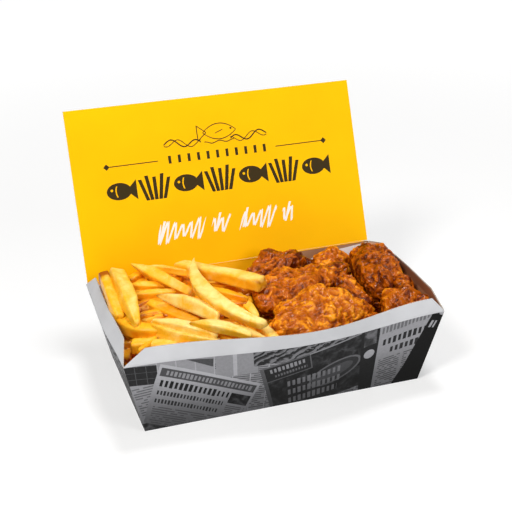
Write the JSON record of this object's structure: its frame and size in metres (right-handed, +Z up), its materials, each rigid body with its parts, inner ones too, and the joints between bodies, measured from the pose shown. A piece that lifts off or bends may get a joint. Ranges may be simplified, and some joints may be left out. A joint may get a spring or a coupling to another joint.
{
  "type": "fish and chips box",
  "caption": "Open printed board takeaway box with a hinged lid, heaped with thick chips on the left and craggy battered pieces on the right.",
  "frame": {"origin": "centre of the box's underside", "axes": "+X along the box's long side to the right, +Y to the hinged back wall, +Z up; the front wall faces -Y"},
  "size_m": [0.2544, 0.21, 0.1959],
  "materials": {
    "printed_board": "white-lined board with a grey newsprint pattern outside, semi-matt",
    "yellow_board": "yellow printed board, semi-matt",
    "fried_potato": "fried potato with a light oil sheen",
    "fried_batter": "craggy glazed fried batter"
  },
  "bodies": {
    "tray": {"tray": "printed_board", "chips_heap": "fried_potato", "battered_piece_front": "fried_batter", "battered_piece_right": "fried_batter", "battered_piece_front_right": "fried_batter", "battered_piece_back_left": "fried_batter", "battered_piece_back_middle": "fried_batter", "battered_piece_middle": "fried_batter", "battered_piece_shaded": "fried_batter", "battered_piece_small": "fried_batter"},
    "lid": {"lid": "yellow_board"}
  },
  "joints": [
    {"name": "lid_hinge", "type": "hinge", "parent": "tray", "child": "lid", "pos_m": [0, 0.0733, 0.0643], "axis": [1, 0, 0], "range_deg": [-65, 48]}
  ]
}
